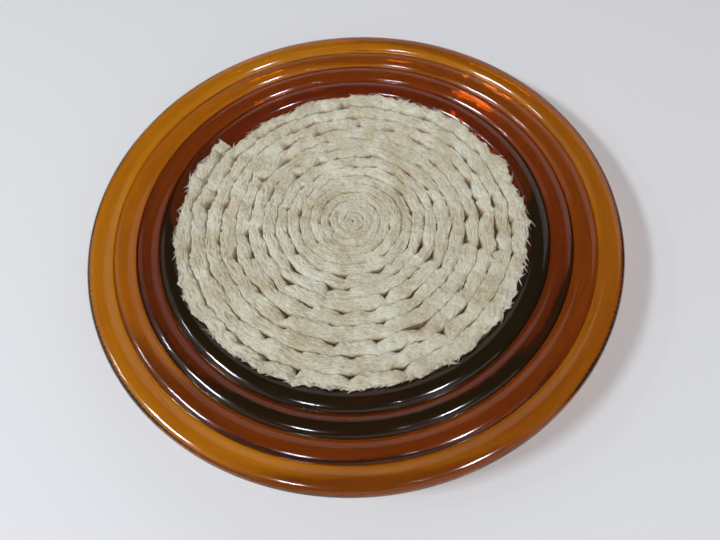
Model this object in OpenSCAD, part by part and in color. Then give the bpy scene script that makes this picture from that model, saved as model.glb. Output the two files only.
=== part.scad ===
// Round pressed-glass dish with a wound roll of drying wadding.
// Four concentric rolls of glass step down from the rim to an upright well with a flat floor.
// The outer rolls overhang as a flange; the rest stands on a broad foot.
// One strip of wadding stands on edge in the well, wound on itself, and lifts straight out.
// Origin: centre of the foot's underside. +Z is up.

/* [Dish] */
// Outside diameter of the rim
dish_d = 200; // [180:1:240]
// Height of the rim above the table
dish_h = 18; // [17:0.5:24]
// Thickness of the floor above the table
floor_h = 4; // [3:0.1:6]

/* [Rolls] */
// Number of concentric rolls, rim included
roll_count = 4; // [3:1:5]
// Width of each roll inside the rim
roll_w = 8.25; // [7.5:0.05:9]
// Width of the rim's own roll
rim_w = 8.4; // [7.5:0.1:10]
// Height of each roll above the straight line between its two edges
roll_rise = 1.9; // [1:0.1:2.2]
// How far the outermost roll's outer edge stands above the well's edge
bowl_rise = 3.6; // [2:0.1:4.5]

/* [Foot] */
// Outside diameter of the broad ring that the dish stands on
foot_d = 151; // [146:1:164]
// Width of that ring
foot_w = 8; // [5:0.5:9]
// Depth of the recess inside it
foot_recess = 1.2; // [0.8:0.1:1.6]

/* [Wadding] */
// Number of turns in the wound strip
turns = 16; // [12:1:17]
// Height of the strip's top above the innermost roll
strip_proud = 0.5; // [0.3:0.1:1]
// Clearance between neighbouring turns
turn_gap = 0.25; // [0.2:0.05:0.4]
// How the strip thickens outwards: 1 is an even thickness
winding_power = 1.45; // [1.2:0.05:1.5]
// Bearing of the strip's outer end, anticlockwise from +X
end_bearing = 139; // [0:1:359]

/* [Hidden] */
arc_steps = 10;
$fn = 96;
// Rim
lip_bulge = 0.65;                          // how far the lip's side stands out
lip_side = 3.9;                            // height of the lip's side
lip_r = dish_d / 2 - lip_bulge;            // where the rim's roll ends and the lip's side begins
lip_z = dish_h - crest(roll_rise, [rim_w, bowl_z(0) - bowl_z(1)]);
under_edge = [2.6, 1.6];                   // rounding between the lip's side and the underside
under_bulge = 0.3;
// Well
well_r = crease_r(roll_count);             // upright wall, straight below the innermost roll
corner = 2;                                // fillet between wall and floor
corner_bulge = corner * (sqrt(2) - 1) / sqrt(2);
flare = 1.5;                               // how far the underside curves in between lip and foot
// Wadding
fit_gap = 0.3;                             // wadding to glass
strip_top = crease_z(roll_count) + roll_rise + strip_proud;
strip_r = well_r + 3;                      // outer end of the strip, over the innermost roll's inner flank
core_r = 0.3;                              // radius of the eye that the strip is wound round
core_turns = 0.5;                          // turns before the strip first overlaps itself
turn_steps = 24;                           // points per turn

// Edges of the rolls, counted inwards: 0 is the lip, the last is the well's edge. They lie on
// a shallow bowl that is level at the well and steepest at the lip.
function bowl_z(i) = bowl_rise * pow((roll_count - i) / roll_count, 2);
function crease_r(i) = i == 0 ? lip_r : lip_r - rim_w - (i - 1) * roll_w;
function crease_z(i) = lip_z - bowl_rise + bowl_z(i);
function crease(i) = [crease_r(i), crease_z(i)];

// Height of an arc's crest above its outer end, for an arc that spans [width, height] outwards
function crest(rise, span) =
    let (
        chord = norm(span),
        r = (pow(chord / 2, 2) + pow(rise, 2)) / (2 * rise)
    )
    r - (r - rise) * span[0] / chord - span[1] / 2;

// Points of an arc from p to q that bulges by rise to the left of the way from p to q
function arc(p, q, rise) =
    let (
        chord = norm(q - p),
        along = (q - p) / chord,
        out = [-along[1], along[0]],
        half = 2 * atan(2 * rise / chord),
        r = chord / 2 / sin(half)
    )
    [
        for (s = [0 : arc_steps])
            let (a = half * (2 * s / arc_steps - 1))
                (p + q) / 2 + along * r * sin(a) + out * r * (cos(a) - cos(half))
    ];

// Glass ------------------------------------------------------------------------------------------

module dish_section() {
    lip_foot = crease(0) - [0, lip_side];
    polygon([
        [0, floor_h],
        each arc([well_r - corner, floor_h], [well_r, floor_h + corner], -corner_bulge),
        for (i = [roll_count : -1 : 1]) each arc(crease(i), crease(i - 1), roll_rise),
        each arc(crease(0), lip_foot, lip_bulge),
        each arc(lip_foot, lip_foot - under_edge, under_bulge),
        each arc(lip_foot - under_edge, [foot_d / 2, 0], -flare),
        [foot_d / 2 - foot_w, 0],
        [foot_d / 2 - foot_w - foot_recess, foot_recess],
        [0, foot_recess],
    ]);
}

module glass_dish() {
    color("darkorange")
        rotate_extrude() dish_section();
}

// Wadding ----------------------------------------------------------------------------------------

// Radius of the strip's outer face after n turns, and of its inner face there
function face_r(n) = strip_r * pow(n / turns, winding_power);
function inner_face_r(n) = n > 1 ? max(core_r, face_r(n - 1) + turn_gap) : core_r;
// The strip winds outwards clockwise, seen from above
function bearing(n) = end_bearing + (turns - n) * 360;
function at(r, n) = [r * cos(bearing(n)), r * sin(bearing(n))];

module strip_plan() {
    steps = ceil((turns - core_turns) * turn_steps);
    counts = [for (s = [0 : steps]) core_turns + (turns - core_turns) * s / steps];
    polygon([
        for (n = counts) at(face_r(n), n),
        for (s = [steps : -1 : 0]) at(inner_face_r(counts[s]), counts[s]),
    ]);
}

// What the well's wall, its fillet and the innermost roll take out of the wadding's edge
module glass_clearance() {
    wall = well_r - fit_gap;
    over_roll = [-fit_gap, fit_gap];
    rotate_extrude()
        polygon([
            [wall - corner, 0],
            [wall - corner, floor_h],
            [wall, floor_h + corner],
            each arc(crease(roll_count) + over_roll, crease(roll_count - 1) + over_roll, roll_rise),
            [crease_r(roll_count - 1), 0],
        ]);
}

module wadding_roll() {
    color("antiquewhite")
        difference() {
            translate([0, 0, floor_h]) linear_extrude(strip_top - floor_h) strip_plan();
            glass_clearance();
        }
}

glass_dish();
wadding_roll();
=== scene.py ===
"""Amber pressed-glass dish with a wound roll of drying wadding, on a pale table.

The dish is a lathed mesh with true wall thickness and an absorbing volume.
The wadding is one long strip, wound on itself, with the pleats and pockets that winding it makes.
Lengths are in metres. The frame's +Z is up and its origin is the centre of the foot's underside.
"""

import math

import bmesh
import bpy
import numpy as np
from mathutils import Matrix, Vector


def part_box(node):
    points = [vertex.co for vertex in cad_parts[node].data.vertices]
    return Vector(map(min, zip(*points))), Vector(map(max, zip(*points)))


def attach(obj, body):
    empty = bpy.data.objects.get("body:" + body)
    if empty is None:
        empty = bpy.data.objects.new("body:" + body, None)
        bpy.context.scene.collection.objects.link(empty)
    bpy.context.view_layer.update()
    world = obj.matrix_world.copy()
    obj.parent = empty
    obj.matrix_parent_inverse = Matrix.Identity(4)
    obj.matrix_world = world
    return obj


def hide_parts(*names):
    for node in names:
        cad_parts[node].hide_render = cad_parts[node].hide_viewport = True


MM = 0.001
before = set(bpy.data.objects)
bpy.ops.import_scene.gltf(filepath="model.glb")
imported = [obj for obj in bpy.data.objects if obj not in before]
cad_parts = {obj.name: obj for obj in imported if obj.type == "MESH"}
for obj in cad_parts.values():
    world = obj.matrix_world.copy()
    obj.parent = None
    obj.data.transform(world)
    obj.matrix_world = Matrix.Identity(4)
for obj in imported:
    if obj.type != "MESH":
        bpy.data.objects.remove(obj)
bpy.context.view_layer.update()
DISH_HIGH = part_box("glass_dish")[1]
ROLL_LOW, ROLL_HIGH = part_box("wadding_roll")
RIM_R = DISH_HIGH.x
DISH_H = DISH_HIGH.z
FLOOR_Z = ROLL_LOW.z  # the well's floor, which the strip stands on

# ---------------------------------------------------------------- noise, meshes and materials


def lattice(i, j, seed):
    """A repeatable value from 0 to 1 at each whole-number point."""
    h = (
        i.astype(np.int64) * 374761393
        + j.astype(np.int64) * 668265263
        + seed * 1274126177
    ) & 0xFFFFFFFF
    h = ((h ^ (h >> 13)) * 1103515245) & 0xFFFFFFFF
    h = ((h ^ (h >> 15)) * 2246822519) & 0xFFFFFFFF
    return ((h ^ (h >> 16)) & 0xFFFFFF) / float(0xFFFFFF)


def noise(a, b, seed):
    """Smooth value noise from -1 to 1 over the plane (a, b), one cell per unit."""
    a, b = np.broadcast_arrays(np.asarray(a, float), np.asarray(b, float))
    i, j = np.floor(a), np.floor(b)
    u, v = a - i, b - j
    u, v = u * u * (3 - 2 * u), v * v * (3 - 2 * v)
    low = lattice(i, j, seed) * (1 - u) + lattice(i + 1, j, seed) * u
    high = lattice(i, j + 1, seed) * (1 - u) + lattice(i + 1, j + 1, seed) * u
    return 2 * (low * (1 - v) + high * v) - 1


def layered(a, b, seed, octaves=3):
    """Noise with finer, weaker copies of itself on top."""
    total, weight = 0, 1
    for k in range(octaves):
        total = total + weight * noise(a * 2**k, b * 2**k, seed + 17 * k)
        weight *= 0.5
    return total


def smoothstep(x, low, high):
    """0 below low, 1 above high, and a smooth rise between them."""
    t = np.clip((x - low) / (high - low), 0, 1)
    return t * t * (3 - 2 * t)


def grid_mesh(name, points, wrap_u, wrap_v, uv):
    """A mesh of quads over points[u, v]. wrap_u and wrap_v join the last row or column to the first."""
    rows, columns = points.shape[:2]
    u = np.arange(rows if wrap_u else rows - 1)
    v = np.arange(columns if wrap_v else columns - 1)
    uu, vv = np.meshgrid(u, v, indexing="ij")
    u2, v2 = (uu + 1) % rows, (vv + 1) % columns
    corners = [uu * columns + vv, uu * columns + v2, u2 * columns + v2, u2 * columns + vv]
    quads = np.stack(corners, -1).reshape(-1, 4)
    mesh = bpy.data.meshes.new(name)
    mesh.from_pydata(points.reshape(-1, 3).tolist(), [], quads.tolist())
    layer = mesh.uv_layers.new(name="UVMap")
    flat = uv.reshape(-1, 2)[quads.reshape(-1)]
    layer.data.foreach_set("uv", flat.astype(np.float32).reshape(-1))
    smooth_all(mesh)
    mesh.update()
    piece = bpy.data.objects.new(name, mesh)
    bpy.context.scene.collection.objects.link(piece)
    return piece


def smooth_all(mesh):
    """Shade every face smooth."""
    mesh.polygons.foreach_set("use_smooth", [True] * len(mesh.polygons))


class Look:
    """A material, with short ways to add the nodes that it needs."""

    def __init__(self, name, settings):
        self.material = bpy.data.materials.new(name)
        self.material.use_nodes = True
        self.nodes = self.material.node_tree.nodes
        self.links = self.material.node_tree.links
        self.shader = self.nodes["Principled BSDF"]
        self.fill(self.shader, settings)

    def fill(self, node, settings):
        """Give a node's inputs their values. An output of another node is linked."""
        for name, value in settings.items():
            if isinstance(value, bpy.types.NodeSocket):
                self.links.new(value, node.inputs[name])
            else:
                node.inputs[name].default_value = value

    def add(self, kind, settings):
        """A new node of a kind, with its inputs filled."""
        node = self.nodes.new("ShaderNode" + kind)
        self.fill(node, settings)
        return node

    def combine(self, operation, *values):
        """The result of an arithmetic operation on values and outputs."""
        node = self.nodes.new("ShaderNodeMath")
        node.operation = operation
        self.fill(node, dict(enumerate(values)))
        return node.outputs[0]

    def ramp(self, factor, low, low_color, high, high_color):
        """A blend from one colour to the other as the factor goes from low to high."""
        node = self.add("ValToRGB", {"Fac": factor})
        for stop, at, color in zip(node.color_ramp.elements, (low, high), (low_color, high_color)):
            stop.position = at
            stop.color = (*color, 1)
        return node.outputs["Color"]


# ---------------------------------------------------------------- glass

ROLL_COUNT = 4
ROLL_W = 8.25 * MM
RIM_W = 8.4 * MM
ROLL_RISE = 1.9 * MM
BOWL_RISE = 3.6 * MM  # from the well's edge to the lip
LIP_BULGE = 0.65 * MM
LIP_SIDE = 3.9 * MM
LIP_R = RIM_R - LIP_BULGE
UNDER_EDGE = np.array([2.6, 1.6]) * MM
UNDER_BULGE = 0.3 * MM
FOOT_R = 75.5 * MM
FOOT_W = 8 * MM
FOOT_RECESS = 1.2 * MM
CORNER = 2 * MM
FLARE = 1.5 * MM

AROUND = 1440  # mesh columns round the dish
CENTRE_R = 0.5 * MM  # where the lathed section stops short of the axis
FOOT_EDGE = 1 * MM  # from the foot's outer corner to the next point of the section

# Wavelengths and heights of the glass's unevenness
POLISHED_L, POLISHED_H = 26 * MM, 0.05 * MM  # fire-polished top
PRESSED_L, PRESSED_H = 7 * MM, 0.08 * MM  # underside, as the mould left it
TOOLED_L, TOOLED_H = 0.40 * MM, 0.03 * MM  # fine rings on the underside; the length is per radian
TOOLED_DRIFT, TOOLED_DRIFT_L = 2.5, 40 * MM
FOOT_TRUE = 0.6 * MM  # the foot is even up to this height
FLOOR_TRUE = 0.1 * MM  # and so is the floor, to this distance
MILLING = 288  # notches round the rim's underside
MILLING_H = 0.12 * MM
MILLING_L = 14 * MM  # length over which the notches grow stronger and weaker
MILLING_IN, MILLING_FULL = 6 * MM, 2 * MM  # distances in from the rim where notches begin and are full

# Streaks of colour in the glass: noise cells per radian round the dish, and per metre outwards
STREAKS_ROUND = 2.2
STREAKS_OUT = 300


def arc(p, q, rise, steps):
    """Points from p to q on an arc that bulges by rise to the left of the way from p to q."""
    p, q = np.array(p, float), np.array(q, float)
    chord = np.linalg.norm(q - p)
    along = (q - p) / chord
    out = np.array([-along[1], along[0]])
    half = 2 * math.atan(2 * rise / chord)
    r = chord / 2 / math.sin(half)
    a = np.linspace(-half, half, steps + 1)[:, None]
    return (p + q) / 2 + along * r * np.sin(a) + out * r * (np.cos(a) - math.cos(half))


def bowl_z(i):
    """Height of a roll's edge above the well's edge, counted inwards from the lip."""
    return BOWL_RISE * ((ROLL_COUNT - i) / ROLL_COUNT) ** 2


def crest(rise, width, lift):
    """Height of an arc's crest above its outer end, for an arc that spans width and lift."""
    chord = math.hypot(width, lift)
    r = (chord**2 / 4 + rise**2) / (2 * rise)
    return r - (r - rise) * width / chord - lift / 2


LIP_Z = DISH_H - crest(ROLL_RISE, RIM_W, bowl_z(0) - bowl_z(1))


def crease(i):
    """Radius and height of a roll's edge: 0 is the lip, the last is the well's edge."""
    r = LIP_R if i == 0 else LIP_R - RIM_W - (i - 1) * ROLL_W
    return r, LIP_Z - BOWL_RISE + bowl_z(i)


def dish_profile():
    """The dish's section, and how many of its points lie on the upper side.

    It runs from the middle of the floor, over the rolls and lip, to the middle of the underside.
    """
    well_r = crease(ROLL_COUNT)[0]
    lip_foot = np.array(crease(0)) - [0, LIP_SIDE]
    corner_bulge = CORNER * (math.sqrt(2) - 1) / math.sqrt(2)
    parts = [np.linspace([CENTRE_R, FLOOR_Z], [well_r - CORNER, FLOOR_Z], num=12)]
    parts.append(arc((well_r - CORNER, FLOOR_Z), (well_r, FLOOR_Z + CORNER), -corner_bulge, steps=6)[1:])
    for i in range(ROLL_COUNT, 0, -1):
        parts.append(arc(crease(i), crease(i - 1), ROLL_RISE, steps=20)[i < ROLL_COUNT :])
    parts.append(arc(crease(0), lip_foot, LIP_BULGE, steps=8)[1:])
    upper = sum(len(part) for part in parts)
    parts.append(arc(lip_foot, lip_foot - UNDER_EDGE, UNDER_BULGE, steps=6)[1:])
    parts.append(arc(lip_foot - UNDER_EDGE, (FOOT_R, 0), -FLARE, steps=64)[1:])
    parts.append(np.linspace([FOOT_R - FOOT_EDGE, 0], [FOOT_R - FOOT_W, 0], num=3))
    recess_r = FOOT_R - FOOT_W - FOOT_RECESS
    parts.append(np.linspace([recess_r, FOOT_RECESS], [CENTRE_R, FOOT_RECESS], num=10))
    return np.concatenate(parts), upper


def unevenness(x, y, angle, r, z, under):
    """Height of the glass's surface above its true section. The floor and the foot are even."""
    polished = layered(x / POLISHED_L, y / POLISHED_L, 5, 2) * POLISHED_H
    pressed = layered(x / PRESSED_L, y / PRESSED_L, 8) * PRESSED_H
    drift = TOOLED_DRIFT * noise(x / TOOLED_DRIFT_L, y / TOOLED_DRIFT_L, 12)
    tooled = np.sin(r / TOOLED_L + drift) * TOOLED_H
    uneven = (z > FOOT_TRUE) & (abs(z - FLOOR_Z) > FLOOR_TRUE)
    wave = np.where(uneven, np.where(under, pressed + tooled, polished), 0)
    milled = smoothstep(r, RIM_R - MILLING_IN, RIM_R - MILLING_FULL) * uneven * under
    notch = abs((angle * MILLING / (2 * math.pi)) % 1 - 0.5) * 2
    strength = 0.5 + 0.5 * noise(x / MILLING_L, y / MILLING_L, 9)
    return wave + milled * notch * strength * MILLING_H


def glass_dish():
    """The lathed dish. Its underside is less even than its top, and the rim is milled below."""
    profile, upper = dish_profile()
    angle = np.linspace(0, 2 * math.pi, AROUND, endpoint=False)[:, None]
    r, z = profile[None, :, 0], profile[None, :, 1]
    x, y = r * np.cos(angle), r * np.sin(angle)
    under = np.arange(len(profile))[None, :] >= upper
    points = np.stack([x, y, z + unevenness(x, y, angle, r, z, under)], -1)
    streaks = np.broadcast_arrays(abs(angle - math.pi) * STREAKS_ROUND, r * STREAKS_OUT)
    piece = grid_mesh("amber_dish", points, True, False, np.stack(streaks, -1))
    close_middle(piece, len(profile))
    return piece


def close_middle(piece, columns):
    """Close the floor and the underside in the middle, where the lathed section stops short of the axis."""
    shell = bmesh.new()
    shell.from_mesh(piece.data)
    shell.verts.ensure_lookup_table()
    for column in (0, columns - 1):
        shell.faces.new([shell.verts[row * columns + column] for row in range(AROUND)])
    bmesh.ops.recalc_face_normals(shell, faces=shell.faces)
    shell.to_mesh(piece.data)
    shell.free()


def amber_glass():
    """Clear amber glass that darkens with thickness, with faint browner streaks along the rolls."""
    settings = {
        "Roughness": 0.1,
        "IOR": 1.52,
        "Transmission Weight": 0.985,
        "Specular IOR Level": 0.38,
    }
    look = Look("amber_glass", settings)
    where = look.add("TexCoord", {})
    streaks = look.add("TexNoise", {"Scale": 1, "Detail": 3, "Vector": where.outputs["UV"]})
    amber, brown = (0.88, 0.49, 0.03), (0.74, 0.33, 0.02)
    tone = look.ramp(streaks.outputs["Fac"], 0.42, amber, 0.72, brown)
    look.fill(look.shader, {"Base Color": tone})
    absorb = look.add("VolumeAbsorption", {"Color": (0.88, 0.68, 0.0, 1), "Density": 300})
    look.fill(look.nodes["Material Output"], {"Volume": absorb.outputs["Volume"]})
    return look.material


# ---------------------------------------------------------------- wadding

TURNS = 16
WINDING_POWER = 1.45
END_BEARING = math.radians(139)
STRIP_R = crease(ROLL_COUNT)[0] + 3 * MM
STRIP_TOP = ROLL_HIGH.z
STRIP_BOTTOM = FLOOR_Z + 0.1 * MM
FIT_GAP = 0.3 * MM  # from the wadding to the glass
FIRST_TURN = 0.55
SLIT_BEARING = 1.9  # direction of the flattened eye, in radians
STEP = 0.32 * MM  # mesh spacing along the strip
ACROSS = 24  # mesh columns over the strip's top
WALL = np.array([0.04, 0.09, 0.16, 0.28, 0.55, 0.94])  # rows down each side, as shares of the height
FIBRE_UV = 10  # texture units per metre

POCKET_GAP = (6, 21)  # millimetres from one buckle of the strip to the next
POCKET_REACH = (1.4, 7.5)  # millimetres from a buckle's peak to either end of it
POCKETS_FROM, POCKETS_FULL = 7 * MM, 34 * MM  # radii where the buckles begin and are at their largest
CREASE_W = 0.42 * MM  # width of the crease between two turns
SHOULDER_W = 1.5 * MM  # width over which the top rounds down to it
PLY = 0.62 * MM
FIBRE = 0.42 * MM

TUFTS = 420
EYE_ROWS, END_ROWS = 900, 30  # mesh rows without tufts at the strip's inner and outer end
FREE_COLUMNS = 7  # mesh columns that the free edge's tufts grow from
TUFT_SECTIONS = (0.0, 0.35, 0.7, 0.93)  # shares of a tuft's length


def clear_r(z):
    """The radius that the wadding may reach at each height inside the well's wall and the innermost roll."""
    wall, edge_z = crease(ROLL_COUNT)
    half = ROLL_W / 2
    r = (half**2 + ROLL_RISE**2) / (2 * ROLL_RISE)
    up = np.clip(z - FIT_GAP - (edge_z + ROLL_RISE - r), 0, r)
    return np.maximum(wall + half - np.sqrt(r**2 - up**2), wall) - FIT_GAP


FLANK_Z = np.linspace(crease(ROLL_COUNT)[1], STRIP_TOP, 60)
FLANK_R = clear_r(FLANK_Z)


def lift_over_roll(point):
    """The point, raised to clear the innermost roll if it is over it."""
    clear_z = float(np.interp(math.hypot(point.x, point.y), FLANK_R, FLANK_Z))
    return Vector((point.x, point.y, max(point.z, clear_z)))


def face_r(n):
    """Mean radius of the strip's outer face after n turns."""
    return STRIP_R * (np.maximum(n, 0) / TURNS) ** WINDING_POWER


# The strip's length from its inner end, against the number of turns
COUNTS = np.linspace(FIRST_TURN, TURNS, 40000)
LENGTHS = np.concatenate([[0], np.cumsum(face_r(COUNTS[1:]) * np.diff(COUNTS) * 2 * math.pi)])


def length_at(count):
    """The strip's length from its inner end to a number of turns."""
    return np.interp(count, COUNTS, LENGTHS, left=0)


def bearing(n):
    """Direction of the strip after n turns. It winds outwards clockwise, seen from above."""
    return END_BEARING + (TURNS - n) * 2 * math.pi


def spiral(r, z, n):
    """Points at radii r[row, column] and heights z, with each row on the bearing of its turns n."""
    angle = bearing(n)[:, None]
    return np.stack([r * np.cos(angle), r * np.sin(angle), z], -1)


def pocket_tents(s):
    """How far the strip's inner face buckles outwards from the turn inside it, at each length s."""
    rng = np.random.default_rng(11)
    tents = np.zeros_like(s)
    at = 0.0
    while at < LENGTHS[-1]:
        count = np.interp(at, LENGTHS, COUNTS)
        gap = rng.uniform(*POCKET_GAP) * MM
        thick = face_r(count) - face_r(count - 1)
        ramp = smoothstep(face_r(count), POCKETS_FROM, POCKETS_FULL)
        deep = thick * (0.04 + 0.36 * rng.random() ** 1.6) * ramp
        left, right = rng.uniform(*POCKET_REACH, 2) * MM * (0.4 + 0.6 * ramp)
        d = s - at
        tent = np.clip(np.where(d < 0, 1 + d / left, 1 - d / right), 0, 1)
        tents = np.maximum(tents, deep * tent**1.25)
        at += gap
    return tents


def boundary(count, n, tent):
    """Radius of the meeting of two turns, outside turn count. tent is the strip's buckling at turns n."""
    along = length_at(count)
    size = np.clip(face_r(count) / STRIP_R * 1.6, 0.15, 1)
    stray = 0.75 * noise(along / (9 * MM), count, 3) + 0.42 * noise(along / (3.6 * MM), count, 6)
    stray = stray + 0.2 * noise(along / (1.3 * MM), count, 4)
    return face_r(count) + size * stray * MM + 0.45 * np.interp(count, n, tent, left=0)


def crack(count):
    """Depth of the crease where two turns meet, which comes and goes."""
    along = length_at(count)
    long_run = noise(along / (11 * MM), count * 0, 27) * face_r(count) / STRIP_R
    open_here = smoothstep(np.maximum(noise(along / (5 * MM), count * 0, 23), long_run), 0.0, 0.8)
    fine_open = smoothstep(noise(along / (1.7 * MM), count * 0, 24), -0.6, 0.6)
    return (0.10 + 1.6 * open_here * fine_open) * MM


def strip_faces(n, s, tent, free):
    """Radii of the strip's inner and outer face. The eye is a slit, and the free outer face is shaggy."""
    shag = np.clip(layered(s / (2.6 * MM), 0 * s, 31, 4), -0.7, 1.6) * 0.85 * MM
    inner = boundary(n - 1, n, tent) + 0.02 * MM + tent
    slit = (0.3 + 0.95 * np.cos(bearing(n) - SLIT_BEARING) ** 2) * MM
    inner = np.where(n < 1, slit, inner)
    outer = np.maximum(boundary(n, n, tent), inner + 0.35 * MM) + free * shag
    return inner, outer


def fold_depth(n, edge_in, edge_out, tent, free):
    """How far the strip's top sinks near its two faces, at distances edge_in and edge_out from them."""
    crease_in = np.exp(-((edge_in / CREASE_W) ** 1.4)) * crack(n - 1)[:, None]
    crease_out = np.exp(-((edge_out / CREASE_W) ** 1.4)) * crack(n)[:, None]
    round_in = np.exp(-((edge_in / SHOULDER_W) ** 1.6)) * 0.18 * MM
    round_out = np.exp(-((edge_out / SHOULDER_W) ** 1.6)) * (0.18 + 0.1 * free[:, None]) * MM
    next_tent = np.interp(n + 1, n, tent, right=0)[:, None]
    dip_in = np.exp(-edge_in / SHOULDER_W) * tent[:, None] * 0.75
    dip_out = np.exp(-edge_out / (0.9 * MM)) * next_tent * 0.45
    return crease_in + crease_out + round_in + round_out + dip_in + dip_out


def fibre_height(n, along, radius, share, width):
    """Height of the lumps, plies and fibres over the strip's top."""
    size = np.clip(width / (4 * MM), 0.3, 1)
    angle = bearing(n)[:, None]
    east, north = radius * np.cos(angle), radius * np.sin(angle)
    lump = layered(along / (4.6 * MM), share * 1.8 + n[:, None] * 5, 51) * 0.34 * MM * size
    lump = lump + layered(east / (6 * MM), north / (6 * MM), 57) * 0.34 * MM * size
    drift = noise(along / (8 * MM), radius / (2.6 * MM), 60) * 2.6
    ply = 1 - abs(layered(along / (5.5 * MM), radius / PLY + drift, 61, 2)) * 1.4
    fibre = layered(along / (1.0 * MM), radius / FIBRE + drift, 62, 2)
    return lump + (ply * 0.38 + fibre * 0.20) * MM


def strip_top(n, s, inner, outer, tent, free):
    """Radii and heights over the strip's top, from its inner to its outer face."""
    share = np.linspace(0, 1, ACROSS)[None, :]
    width = (outer - inner)[:, None]
    edge_in, edge_out = share * width, (1 - share) * width
    radius = inner[:, None] + edge_in
    height = STRIP_TOP - (1.15 - 0.65 * free + 0.3 * noise(s / (28 * MM), n, 71)) * MM
    top_z = height[:, None] - fold_depth(n, edge_in, edge_out, tent, free)
    top_z = top_z + fibre_height(n, s[:, None], radius, share, width)
    top_z = np.minimum(top_z, STRIP_TOP)
    return np.minimum(radius, clear_r(top_z)), top_z


def strip_sides(n, s, inner, outer, tent, free, top_z):
    """Points down the strip's outer face, under it and up its inner face. Pockets close below the top."""
    out_z = top_z[:, -1:] + (STRIP_BOTTOM - top_z[:, -1:]) * WALL[None, :]
    in_z = top_z[:, :1] + (STRIP_BOTTOM - top_z[:, :1]) * WALL[None, ::-1]
    rough = layered(s[:, None] / (2 * MM), out_z / (1.2 * MM), 81) * 0.3 * MM * free[:, None]
    out_r = np.minimum(outer[:, None] + rough, clear_r(out_z))
    shut = smoothstep(top_z[:, :1] - in_z, 0.4 * MM, 1.1 * MM + 1.5 * tent[:, None])
    in_r = inner[:, None] - tent[:, None] * shut
    under_out = np.minimum(outer, clear_r(STRIP_BOTTOM)) - 0.5 * MM
    under_r = np.stack([under_out, inner - tent + 0.2 * MM], 1)
    under_z = np.full_like(under_r, STRIP_BOTTOM)
    return [spiral(out_r, out_z, n), spiral(under_r, under_z, n), spiral(in_r, in_z, n)]


def fibre_uv(s, radius, outer, columns):
    """Texture coordinates: along the strip, and across it and on down its sides."""
    uv = np.zeros((len(s), columns, 2))
    uv[..., 0] = s[:, None] * FIBRE_UV
    uv[:, :ACROSS, 1] = radius * FIBRE_UV
    down = np.arange(1, columns - ACROSS + 1) * 2.5 * MM
    uv[:, ACROSS:, 1] = (outer[:, None] + down) * FIBRE_UV
    return uv


def wadding_roll():
    """The strip: a closed section carried along the spiral, with a cap at each end and tufts on top."""
    n = np.interp(np.arange(0, LENGTHS[-1], STEP), LENGTHS, COUNTS)
    s = length_at(n)
    tent = pocket_tents(s)
    free = smoothstep(n, TURNS - 1.03, TURNS - 0.97)  # 1 on the last turn, which has no turn outside it
    inner, outer = strip_faces(n, s, tent, free)
    radius, top_z = strip_top(n, s, inner, outer, tent, free)
    top = spiral(radius, top_z, n)
    points = np.concatenate([top, *strip_sides(n, s, inner, outer, tent, free, top_z)], 1)
    rows, columns = points.shape[:2]
    piece = grid_mesh("wadding_strip", points, False, True, fibre_uv(s, radius, outer, columns))
    shell = bmesh.new()
    shell.from_mesh(piece.data)
    shell.verts.ensure_lookup_table()
    for start in (0, (rows - 1) * columns):
        shell.faces.new([shell.verts[start + k] for k in range(columns)])
    add_tufts(shell, top, np.searchsorted(n, TURNS - 1))
    bmesh.ops.recalc_face_normals(shell, faces=shell.faces)
    shell.to_mesh(piece.data)
    shell.free()
    smooth_all(piece.data)
    return piece


def add_tufts(shell, top, last_turn):
    """Torn slivers of fibre on the strip's top, most of them along its free outer edge."""
    rng = np.random.default_rng(29)
    up = Vector((0, 0, 1))
    for k in range(TUFTS):
        on_edge = k % 3 != 0
        row = rng.integers(last_turn if on_edge else EYE_ROWS, len(top) - END_ROWS)
        column = rng.integers(ACROSS - FREE_COLUMNS if on_edge else 0, ACROSS)
        root = Vector(top[row, column])
        outward = Vector((root.x, root.y, 0)).normalized()
        forward = outward.cross(up) * (1 if rng.random() < 0.5 else -1)
        lean = rng.uniform(0.2, 1.0) if on_edge else rng.uniform(-0.3, 0.3)
        heading = (forward + outward * lean + up * rng.uniform(0.0, 0.3)).normalized()
        length = rng.uniform(1.2, 3.6) * MM * (1 + 0.4 * max(0, outward.x) ** 6)
        wide = rng.uniform(0.18, 0.42) * MM
        droop = -up * rng.uniform(0.1, 0.5) * MM
        add_tuft(shell, root, heading, length, wide, droop)


def add_tuft(shell, root, heading, length, wide, droop):
    """A three-sided sliver that tapers along its heading, with its root inside the strip."""
    side = heading.cross(Vector((0, 0, 1))).normalized()
    sections = []
    for t in TUFT_SECTIONS:
        mid = root + heading * length * (t - 0.15) + droop * t * t
        half = wide * (1 - t) ** 0.7
        corners = (mid - side * half, mid + Vector((0, 0, half * 0.7)), mid + side * half)
        sections.append([shell.verts.new(lift_over_roll(corner)) for corner in corners])
    for low, high in zip(sections, sections[1:]):
        for i in range(3):
            shell.faces.new((low[i], low[(i + 1) % 3], high[(i + 1) % 3], high[i]))
    shell.faces.new(sections[0][::-1])
    shell.faces.new(sections[-1])


def fibre_noise(look, source, scale, detail, stretch):
    """Noise over a set of coordinates that are stretched first."""
    place = look.add("Mapping", {"Scale": stretch, "Vector": source})
    settings = {"Scale": scale, "Detail": detail, "Roughness": 0.7, "Vector": place.outputs["Vector"]}
    return look.add("TexNoise", settings).outputs["Fac"]


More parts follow.
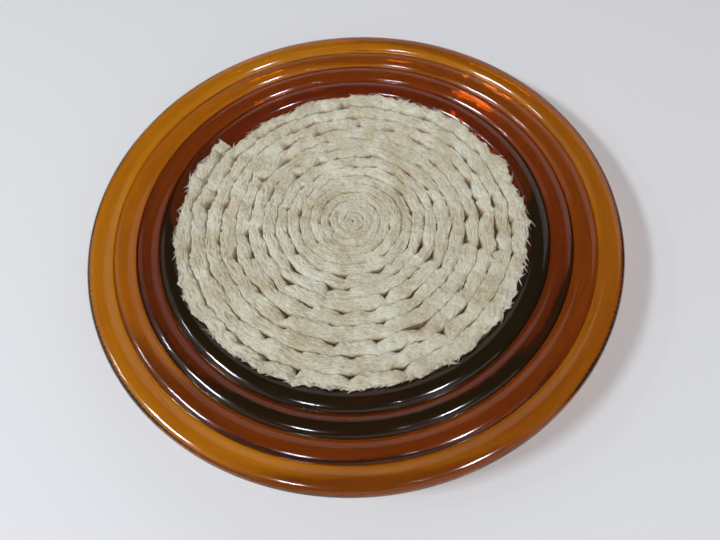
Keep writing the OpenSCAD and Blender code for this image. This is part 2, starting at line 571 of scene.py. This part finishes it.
def fold_shade_mask(look, source):
    """Mask for painted shade: 1 deep between the turns and 0 on the strip's top and on its free outer side.
    """
    place = look.add("SeparateXYZ", {"Vector": source})
    depth = {
        "Value": place.outputs["Z"],
        "From Min": STRIP_TOP - 1.5 * MM,
        "From Max": STRIP_TOP - 3.8 * MM,
    }
    painted_shade_depth = look.add("MapRange", depth).outputs["Result"]
    flat = look.add("CombineXYZ", {"X": place.outputs["X"], "Y": place.outputs["Y"]})
    across = look.nodes.new("ShaderNodeVectorMath")
    across.operation = "LENGTH"
    look.fill(across, {0: flat.outputs["Vector"]})
    last_fold = float(face_r(TURNS - 1)) - 1.5 * MM
    inside = look.combine("LESS_THAN", across.outputs["Value"], last_fold)
    return look.combine("MULTIPLY", painted_shade_depth, inside)


def wadding_fibre():
    """Cotton in fine plies: cream and off-white streaks along the strip, and painted shade that turns it
    browner down in the folds.
    """
    settings = {
        "Roughness": 0.95,
        "Sheen Weight": 0.2,
        "Sheen Roughness": 0.6,
        "Subsurface Weight": 0.4,
        "Subsurface Radius": (1.0, 0.75, 0.5),
        "Subsurface Scale": 1.6 * MM,
    }
    look = Look("wadding", settings)
    where = look.add("TexCoord", {})
    strands = fibre_noise(look, where.outputs["UV"], 60, 8, (1, 5, 1))
    patches = fibre_noise(look, where.outputs["Object"], 70, 3, (1, 1, 1))
    blend = look.combine("MULTIPLY_ADD", strands, 0.55, look.combine("MULTIPLY", patches, 0.45))
    # brown here is painted shade for the folds between the turns
    cream, off_white, brown = (0.49, 0.41, 0.23), (0.79, 0.785, 0.635), (0.52, 0.34, 0.17)
    cotton = look.ramp(blend, 0.38, cream, 0.58, off_white)
    mix = look.nodes.new("ShaderNodeMix")
    mix.data_type = "RGBA"
    # The mask mixes the brown into the deep folds as painted shade.
    look.fill(mix, {"Factor": fold_shade_mask(look, where.outputs["Object"]), "A": cotton, "B": (*brown, 1)})
    bump = look.add("Bump", {"Strength": 0.9, "Distance": 0.5 * MM, "Height": strands})
    look.fill(look.shader, {"Base Color": mix.outputs["Result"], "Normal": bump.outputs["Normal"]})
    return look.material


# ---------------------------------------------------------------- table, camera and lights

TABLE_SIZE = 3
VIEW_CENTRE = Vector((0, 0, 0.016))  # middle of the rings
VIEW_ELEVATION = math.radians(55.9)
VIEW_DISTANCE = 2.221 * RIM_R
VIEW_AIM = Vector((0.0106, -0.2300, 0)) * RIM_R  # from the middle of the rings
VIEW_ROLL = math.radians(-4.51)
SENSOR, LENS = 36, 29.1  # millimetres


def table():
    """The matt, pale table top."""
    bpy.ops.mesh.primitive_plane_add(size=TABLE_SIZE)
    plane = bpy.context.object
    plane.name = "table"
    look = Look("pale_table", {"Base Color": (0.845, 0.875, 0.885, 1), "Roughness": 0.6})
    plane.data.materials.append(look.material)


def aim_matrix(place, target):
    """A matrix that puts a camera or light at a place and turns it to a target."""
    turn = (target - place).to_track_quat("-Z", "Y").to_matrix().to_4x4()
    return Matrix.Translation(place) @ turn


def camera():
    """The viewpoint, on the dish's near side and 56 degrees above the table."""
    level, rise = -math.cos(VIEW_ELEVATION), math.sin(VIEW_ELEVATION)
    place = VIEW_CENTRE + Vector((0, level, rise)) * VIEW_DISTANCE
    data = bpy.data.cameras.new("camera")
    data.sensor_width = SENSOR
    data.lens = LENS
    data.clip_start = 0.01
    eye = bpy.data.objects.new("camera", data)
    eye.matrix_world = aim_matrix(place, VIEW_CENTRE + VIEW_AIM) @ Matrix.Rotation(VIEW_ROLL, 4, "Z")
    bpy.context.scene.collection.objects.link(eye)
    bpy.context.scene.camera = eye


def lamp(name, azimuth, elevation, distance, width, length, power, color):
    """A rectangular light that faces the dish. Its azimuth and elevation are in degrees."""
    data = bpy.data.lights.new(name, "AREA")
    data.shape = "RECTANGLE"
    data.size = width
    data.size_y = length
    data.energy = power
    data.color = color
    light = bpy.data.objects.new(name, data)
    a, e = math.radians(azimuth), math.radians(elevation)
    place = Vector((math.cos(a) * math.cos(e), math.sin(a) * math.cos(e), math.sin(e))) * distance
    light.matrix_world = aim_matrix(place, Vector((0, 0, 0)))
    bpy.context.scene.collection.objects.link(light)


def lights():
    """Small windows and lamps that glint on the rolls, and the room's walls, which are warmer."""
    sky_white, wall_pink = (0.95, 0.99, 1.06), (1.0, 0.84, 0.80)
    lamp("left_window", 196, 44, 1.6, 0.34, 0.15, 10.5, sky_white)
    lamp("left_low", 178, 35, 1.6, 0.16, 0.06, 1.5, sky_white)
    lamp("near_left", 238, 55, 1.6, 0.16, 0.06, 3.2, sky_white)
    lamp("near", 286, 57, 1.6, 0.05, 0.03, 0.3, sky_white)
    lamp("near_right", 308, 54, 1.6, 0.16, 0.07, 4.8, sky_white)
    lamp("far_wall", 65, 26, 1.9, 3.4, 1.6, 10, wall_pink)
    lamp("left_wall", 190, 24, 1.9, 3.4, 1.6, 6.5, wall_pink)
    lamp("near_wall", 290, 22, 2.2, 3.4, 1.6, 11, wall_pink)
    world = bpy.data.worlds.new("room")
    bpy.context.scene.world = world
    world.use_nodes = True
    sky = world.node_tree.nodes["Background"]
    sky.inputs["Color"].default_value = (1.0, 0.9, 0.86, 1)
    sky.inputs["Strength"].default_value = 0.09


table()
camera()
lights()
bpy.context.scene.view_settings.view_transform = "Standard"

dish = glass_dish()
dish.data.materials.append(amber_glass())
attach(dish, "dish")
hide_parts("glass_dish")

roll = wadding_roll()
roll.data.materials.append(wadding_fibre())
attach(roll, "roll")
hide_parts("wadding_roll")
